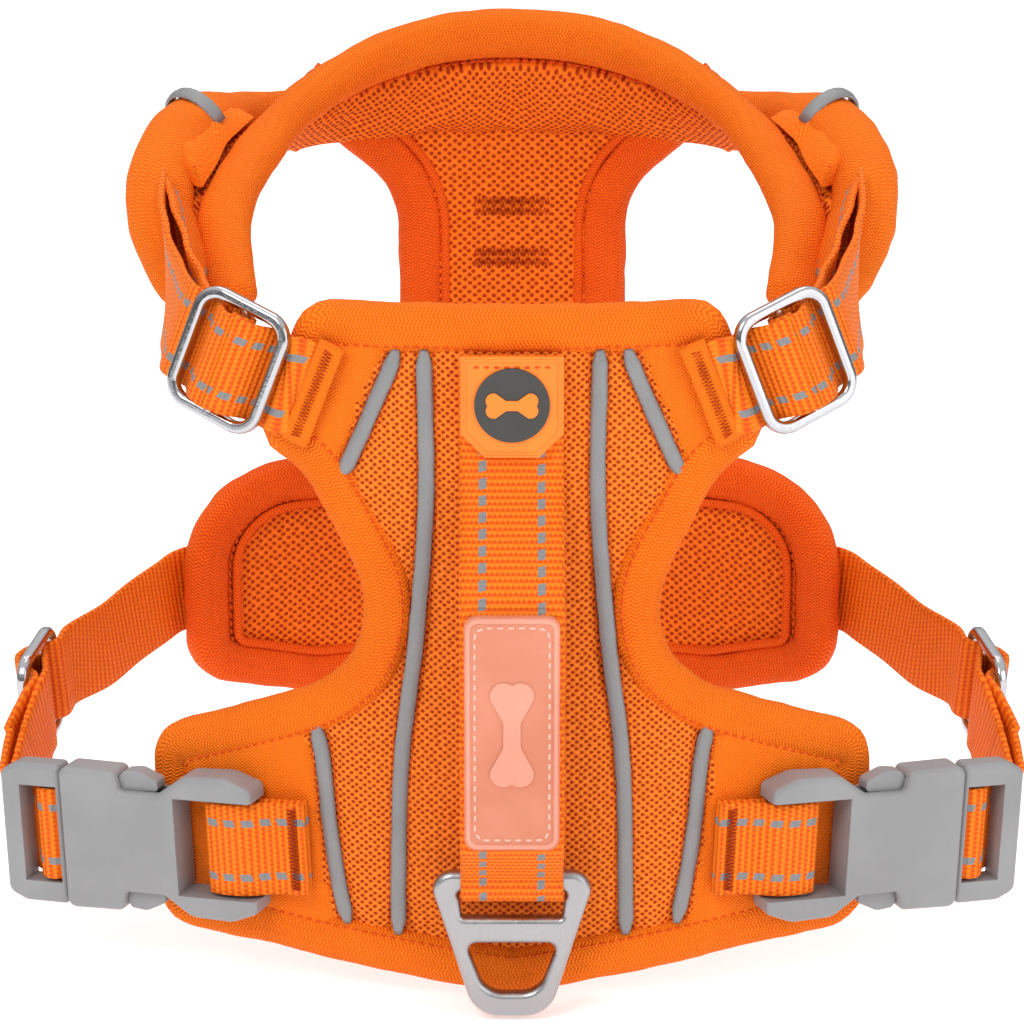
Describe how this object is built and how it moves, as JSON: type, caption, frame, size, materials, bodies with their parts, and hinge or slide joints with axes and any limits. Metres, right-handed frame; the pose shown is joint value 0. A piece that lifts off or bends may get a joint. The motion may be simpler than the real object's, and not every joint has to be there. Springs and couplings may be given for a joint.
{
  "type": "no-pull dog harness",
  "caption": "Padded step-in dog harness with mesh back and chest panels, top handle, back and front leash rings, sliding strap adjusters and side-release buckles.",
  "frame": {"origin": "middle of the space for the dog's torso, on the centre plane", "axes": "+Z towards the dog's head, -Y towards the dog's back, +X to the right with the back panel facing the viewer"},
  "size_m": [0.273, 0.2094, 0.2385],
  "materials": {
    "orange_webbing": "flat nylon webbing",
    "buckle_plastic": "satin",
    "reflective_tape": "fine reflective weave",
    "binding_knit": "ribbed knit tape",
    "woven_patch": "plain weave",
    "air_mesh": "three-dimensional air mesh",
    "flap_rubber": "smooth",
    "badge_rubber": "satin",
    "label_silicone": "frosted, translucent",
    "ring_steel": "brushed",
    "slide_chrome": "polished"
  },
  "bodies": {
    "root": {"back_panel": "air_mesh", "back_panel_binding": "binding_knit", "back_piping_inner_left": "reflective_tape", "back_piping_inner_right": "reflective_tape", "back_piping_lower_left": "reflective_tape", "back_piping_lower_right": "reflective_tape", "back_piping_upper_left": "reflective_tape", "back_piping_upper_right": "reflective_tape", "belly_strap_left": "orange_webbing", "belly_strap_return_left": "orange_webbing", "belly_strap_return_right": "orange_webbing", "belly_strap_right": "orange_webbing", "buckle_female_left": "buckle_plastic", "buckle_female_right": "buckle_plastic", "buckle_webbing_left": "orange_webbing", "buckle_webbing_right": "orange_webbing", "chest_binding": "binding_knit", "chest_panel": "air_mesh", "chest_yoke": "air_mesh", "front_ring_webbing": "orange_webbing", "handle": "orange_webbing", "handle_label": "label_silicone", "lower_wing_patch_left": "woven_patch", "lower_wing_patch_right": "woven_patch", "neck_binding": "binding_knit", "shoulder_cap_left": "woven_patch", "shoulder_cap_right": "woven_patch", "shoulder_strap_left": "orange_webbing", "shoulder_strap_return_left": "orange_webbing", "shoulder_strap_return_right": "orange_webbing", "shoulder_strap_right": "orange_webbing", "upper_wing_patch_left": "woven_patch", "upper_wing_patch_right": "woven_patch", "yoke_arm_binding_left": "binding_knit", "yoke_arm_binding_right": "binding_knit", "yoke_reflective_left": "reflective_tape", "yoke_reflective_right": "reflective_tape"},
    "back_ring": {"back_leash_ring": "ring_steel"},
    "front_ring": {"front_leash_ring": "ring_steel"},
    "id_flap": {"id_flap": "flap_rubber", "id_badge": "badge_rubber"},
    "shoulder_slide_left": {"shoulder_slide_left": "slide_chrome"},
    "side_slide_left": {"side_slide_left": "slide_chrome"},
    "male_left": {"buckle_male_left": "buckle_plastic", "male_strap_loop_left": "orange_webbing"},
    "prong_upper_left": {"buckle_prong_upper_left": "buckle_plastic"},
    "prong_lower_left": {"buckle_prong_lower_left": "buckle_plastic"},
    "shoulder_slide_right": {"shoulder_slide_right": "slide_chrome"},
    "side_slide_right": {"side_slide_right": "slide_chrome"},
    "male_right": {"buckle_male_right": "buckle_plastic", "male_strap_loop_right": "orange_webbing"},
    "prong_upper_right": {"buckle_prong_upper_right": "buckle_plastic"},
    "prong_lower_right": {"buckle_prong_lower_right": "buckle_plastic"}
  },
  "joints": [
    {"name": "back_ring_swing", "type": "hinge", "parent": "root", "child": "back_ring", "pos_m": [0, -0.0897, -0.0725], "axis": [-1, 0, 0], "range_deg": [-8, 95]},
    {"name": "front_ring_swing", "type": "hinge", "parent": "root", "child": "front_ring", "pos_m": [0, 0.0973, 0.052], "axis": [1, 0, 0], "range_deg": [-5, 95]},
    {"name": "id_flap_lift", "type": "hinge", "parent": "root", "child": "id_flap", "pos_m": [0, -0.0838, 0.062], "axis": [-1, 0, 0], "range_deg": [0, 100]},
    {"name": "shoulder_adjust_left", "type": "slide", "parent": "root", "child": "shoulder_slide_left", "axis": [0.8416, -0.4108, -0.3507], "range_m": [-0.006, 0.003], "deforming": ["shoulder_strap_left", "shoulder_strap_return_left"]},
    {"name": "girth_adjust_left", "type": "slide", "parent": "root", "child": "side_slide_left", "axis": [0.2009, 0.9544, 0.221], "range_m": [-0.004, 0.008], "deforming": ["belly_strap_left", "belly_strap_return_left"]},
    {"name": "buckle_release_left", "type": "slide", "parent": "root", "child": "male_left", "axis": [-0.9325, 0.3579, -0.0488], "range_m": [0, 0.03], "deforming": ["buckle_prong_upper_left", "buckle_prong_lower_left"]},
    {"name": "prong_squeeze_left", "type": "hinge", "parent": "male_left", "child": "prong_upper_left", "pos_m": [-0.11391, -0.05703, -0.05642], "axis": [0.3584, 0.9336, 0], "range_deg": [0, 8], "stiffness_Nm_per_rad": 0.05},
    {"name": "prong_squeeze_lower_left", "type": "hinge", "parent": "male_left", "child": "prong_lower_left", "pos_m": [-0.11253, -0.05756, -0.08668], "axis": [0.3584, 0.9336, 0], "range_deg": [-8, 0], "stiffness_Nm_per_rad": 0.05},
    {"name": "shoulder_adjust_right", "type": "slide", "parent": "root", "child": "shoulder_slide_right", "axis": [-0.8416, -0.4108, -0.3507], "range_m": [-0.006, 0.003], "deforming": ["shoulder_strap_right", "shoulder_strap_return_right"]},
    {"name": "girth_adjust_right", "type": "slide", "parent": "root", "child": "side_slide_right", "axis": [-0.2009, 0.9544, 0.221], "range_m": [-0.004, 0.008], "deforming": ["belly_strap_right", "belly_strap_return_right"]},
    {"name": "buckle_release_right", "type": "slide", "parent": "root", "child": "male_right", "axis": [0.9325, 0.3579, -0.0488], "range_m": [0, 0.03], "deforming": ["buckle_prong_upper_right", "buckle_prong_lower_right"]},
    {"name": "prong_squeeze_right", "type": "hinge", "parent": "male_right", "child": "prong_upper_right", "pos_m": [0.11391, -0.05703, -0.05642], "axis": [0.3584, -0.9336, 0], "range_deg": [0, 8], "stiffness_Nm_per_rad": 0.05},
    {"name": "prong_squeeze_lower_right", "type": "hinge", "parent": "male_right", "child": "prong_lower_right", "pos_m": [0.11253, -0.05756, -0.08668], "axis": [0.3584, -0.9336, 0], "range_deg": [-8, 0], "stiffness_Nm_per_rad": 0.05}
  ],
  "couplings": [
    {"joint": "prong_squeeze_lower_left", "follows": "prong_squeeze_left", "ratio": -1},
    {"joint": "prong_squeeze_lower_right", "follows": "prong_squeeze_right", "ratio": -1}
  ]
}
